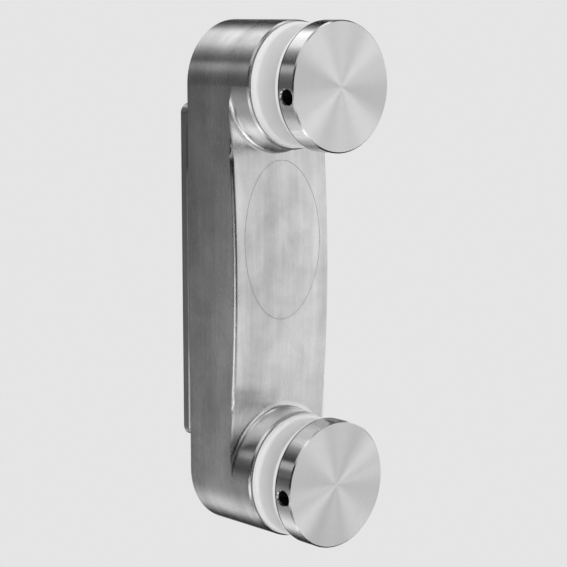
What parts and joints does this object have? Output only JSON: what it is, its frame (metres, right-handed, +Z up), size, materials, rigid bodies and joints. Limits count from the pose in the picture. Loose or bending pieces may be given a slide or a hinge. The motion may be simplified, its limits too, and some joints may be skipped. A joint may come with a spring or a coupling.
{
  "type": "glass point fixing",
  "caption": "Cast wall bracket with round clamp discs on studs that grip a pane of glass between soft pads, and a flush oval cover over the holes for the wall anchors.",
  "frame": {"origin": "on the wall plane, at the middle of the anchor holes, right behind the middle of the oval cover", "axes": "+Z up along the bar, +Y into the wall, -Y from the wall to the glass, +X to the right for someone who faces the wall"},
  "size_m": [0.0504, 0.0644, 0.204],
  "materials": {
    "body": "satin, brushed lengthways, polished at the rounds under the bosses",
    "wall_plate": "plain rolled plate, lightly brushed",
    "plate_screw": "plain bright",
    "oval_cover": "satin, brushed in line with the body",
    "cover_ring": "moulded, matt black",
    "inner_gasket": "soft, milky and slightly glossy",
    "glass_sleeve": "turned, milky white",
    "outer_gasket": "soft, milky and slightly glossy",
    "stud": "rolled thread, bright",
    "clamp_disc": "turned, with fine rings on its face",
    "lock_screw": "dark, plain"
  },
  "bodies": {
    "bracket": {"body": "body", "wall_plate": "wall_plate", "upper_plate_screw": "plate_screw", "lower_plate_screw": "plate_screw", "upper_inner_gasket": "inner_gasket", "upper_glass_sleeve": "glass_sleeve", "lower_inner_gasket": "inner_gasket", "lower_glass_sleeve": "glass_sleeve"},
    "cover": {"oval_cover": "oval_cover", "cover_ring": "cover_ring"},
    "upper_pad": {"upper_outer_gasket": "outer_gasket"},
    "upper_disc": {"upper_clamp_disc": "clamp_disc", "upper_stud": "stud", "upper_lock_screw": "lock_screw"},
    "lower_pad": {"lower_outer_gasket": "outer_gasket"},
    "lower_disc": {"lower_clamp_disc": "clamp_disc", "lower_stud": "stud", "lower_lock_screw": "lock_screw"}
  },
  "joints": [
    {"name": "cover_pull", "type": "slide", "parent": "bracket", "child": "cover", "axis": [0, -1, 0], "range_m": [0, 0.045]},
    {"name": "upper_advance", "type": "slide", "parent": "bracket", "child": "upper_pad", "axis": [0, -1, 0], "range_m": [-0.00402, 0.01152]},
    {"name": "upper_turn", "type": "hinge", "parent": "upper_pad", "child": "upper_disc", "pos_m": [0, -0.06, 0.061], "axis": [0, -1, 0], "range_deg": [-822.86, 2365.71]},
    {"name": "lower_advance", "type": "slide", "parent": "bracket", "child": "lower_pad", "axis": [0, -1, 0], "range_m": [-0.00202, 0.01352]},
    {"name": "lower_turn", "type": "hinge", "parent": "lower_pad", "child": "lower_disc", "pos_m": [0, -0.06, -0.093], "axis": [0, -1, 0], "range_deg": [-411.43, 2777.14]}
  ],
  "couplings": [
    {"joint": "upper_advance", "follows": "upper_turn", "m_per_rad": 0.00027852},
    {"joint": "lower_advance", "follows": "lower_turn", "m_per_rad": 0.00027852}
  ]
}
